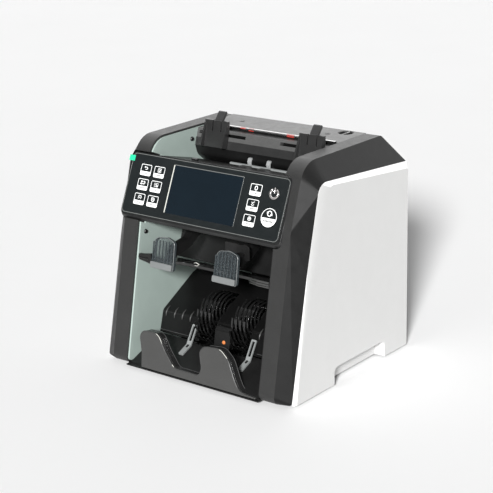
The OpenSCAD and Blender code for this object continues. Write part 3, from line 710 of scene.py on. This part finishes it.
for ci, cx in enumerate(KX):
    for ri, cy in enumerate(KY):
        kn = "abc"[ci] + str(ri + 1)
        body = "key_%s_body" % kn
        T = key_T(cx, cy)
        build("key_%s_print" % kn, key_frame(cx, cy) + icon(kn, T), M["print_white"], body)
        build("key_%s_label" % kn, label(cx, cy, -4.0, (5, 5, 4)[(ci + ri) % 3]), M["print_grey"], body)

# restart key
rx, ry = 88.2, 22.5
T = key_T(rx, ry)
seg_pts = arc(0, 0, 10.5, 184, 356, 34)
restart_print = [g_ring(circle(0, 0, 11.0, 64), circle(0, 0, 10.2, 64), ZT, ZT + 0.08, T), g_prism(seg_pts, ZT, ZT + 0.07, T)]
for a0 in (15, 195):
    e0 = math.radians(a0 + 138)
    tx_, ty_ = 2.9 * math.cos(e0), 4.7 + 2.9 * math.sin(e0)
    dx, dy = -math.sin(e0), math.cos(e0)
    restart_print += [g_stroke(arc(0, 4.7, 2.9, a0, a0 + 138, 18), 1.15, ZT, ZT + 0.08, T),
                      g_prism([(tx_ + dx * 2.3, ty_ + dy * 2.3), (tx_ - dy * 1.9, ty_ + dx * 1.9), (tx_ + dy * 1.9, ty_ - dx * 1.9)], ZT, ZT + 0.08, T)]
build("key_restart_print", restart_print, M["print_white"], "key_restart_body")
build("key_restart_label", [g for g in label(rx, ry, -4.4, 7, 1.3, 2.1, 1.95)], M["print_grey"], "key_restart_body")

# power key
px_, py_ = 88.2, 50.5
T = key_T(px_, py_)
build("key_power_cap", [g_lathe([(0, -3.8), (7.3, -3.8), (7.3, 0.1), (6.9, 0.35), (0, 0.4)], 48, T)], M["overlay"], "key_power_body", ("key_power",), bevel=0.15)
pa = [TP(px_ + 5.4 * math.cos(math.radians(a)), py_ + 5.4 * math.sin(math.radians(a)), 0.35) for a in range(118, 423, 8)]
build("key_power_ring", [g_tube(pa, [0.9] + [1.5] * (len(pa) - 2) + [0.9], 12)], M["power_key"], "key_power_body")
build("key_power_bar", [g_tube([TP(px_, py_ + y, 0.4) for y in (0.2, 0.9, 4.0, 6.4, 7.2)], [0.5, 1.15, 1.2, 1.0, 0.3], 12)], M["power_key"], "key_power_body")

# printed line round the film, and the display's edge, its left edge a light strip that is a painted highlight
def rr(x0, x1, y0, y1, r):
    return rrect(x0, x1, y0, y1, r, 8)


build("panel_film_line", [g_ring(rr(-132.9, 106.9, -3.9, 70.3, 5.6), rr(-132.2, 106.2, -3.2, 69.6, 5.0), -0.05, 0.12, TP)], M["line_grey"], "case", bevel=0.05)
build("display_edge_left", [g_prism(rrect(-66.2, -64.8, 4.6, 63.4, 0.5), -0.25, 0.18, TP)], M["highlight_line"], "case", bevel=0.1)
build("display_edge_top", [g_prism(rrect(-65.0, 40.6, 63.3, 64.1, 0.3), -0.25, 0.1, TP)], M["line_grey"], "case", bevel=0.05)
build("display_edge_right", [g_prism(rrect(40.4, 41.0, 4.2, 63.6, 0.2), -0.25, 0.08, TP)], M["line_grey"], "case", bevel=0.05)

# ---------------------------------------------------------------- stage
def area(name, loc, target, size, power, size_y=None, color=(1, 1, 1)):
    l = bpy.data.lights.new(name, "AREA")
    l.shape = "RECTANGLE"
    l.size = size
    l.size_y = size_y or size
    l.energy = power
    l.color = color
    o = bpy.data.objects.new(name, l)
    S.collection.objects.link(o)
    o.location = loc
    o.rotation_mode = "QUATERNION"
    o.rotation_quaternion = (Vector(target) - Vector(loc)).to_track_quat("-Z", "Y")
    return o


floor_mat = mat("floor_paint", (0.93, 0.93, 0.93), 0.7, mottle=0.006, mottle_scale=3, grain=0.05, grain_scale=400, rough_var=0.03, spec=0.2)
bm = bmesh.new()
bmesh.ops.create_grid(bm, x_segments=8, y_segments=8, size=14)
me = bpy.data.meshes.new("floor")
bm.to_mesh(me)
bm.free()
floor = bpy.data.objects.new("floor", me)
me.materials.append(floor_mat)
S.collection.objects.link(floor)

world = bpy.data.worlds.new("studio")
S.world = world
world.use_nodes = True
wn, wl = world.node_tree.nodes, world.node_tree.links
wn.clear()
w_out = wn.new("ShaderNodeOutputWorld")
w_dif = wn.new("ShaderNodeBackground")
w_dif.inputs["Strength"].default_value = 0.27
w_glo = wn.new("ShaderNodeBackground")
w_tc = wn.new("ShaderNodeTexCoord")
w_dot = wn.new("ShaderNodeVectorMath")
w_dot.operation = "DOT_PRODUCT"
w_dot.inputs[1].default_value = (-0.10, 0.72, 0.68)
w_rng = wn.new("ShaderNodeMapRange")
w_rng.interpolation_type = "SMOOTHSTEP"
w_rng.inputs["From Min"].default_value = -0.05
w_rng.inputs["From Max"].default_value = 0.75
w_rng.inputs["To Min"].default_value = 0.12
w_rng.inputs["To Max"].default_value = 2.5
w_lp = wn.new("ShaderNodeLightPath")
w_mix = wn.new("ShaderNodeMixShader")
wl.new(w_tc.outputs["Generated"], w_dot.inputs[0])
wl.new(w_dot.outputs["Value"], w_rng.inputs["Value"])
wl.new(w_rng.outputs["Result"], w_glo.inputs["Strength"])
wl.new(w_lp.outputs["Is Glossy Ray"], w_mix.inputs[0])
wl.new(w_dif.outputs[0], w_mix.inputs[1])
wl.new(w_glo.outputs[0], w_mix.inputs[2])
wl.new(w_mix.outputs[0], w_out.inputs["Surface"])

sun = bpy.data.objects.new("key", bpy.data.lights.new("key", "SUN"))
S.collection.objects.link(sun)
sun.data.energy = 6.0
sun.data.angle = math.radians(9)
s_az, s_el = math.radians(27), math.radians(22.5)
s_back = Vector((math.sin(s_az) * math.cos(s_el), -math.cos(s_az) * math.cos(s_el), math.sin(s_el)))
sun.rotation_mode = "QUATERNION"
sun.rotation_quaternion = (-s_back).to_track_quat("-Z", "Y")
sun.location = s_back * 3
S.view_settings.view_transform = "Standard"
S.view_settings.look = "None"
S.view_settings.exposure = 0.0
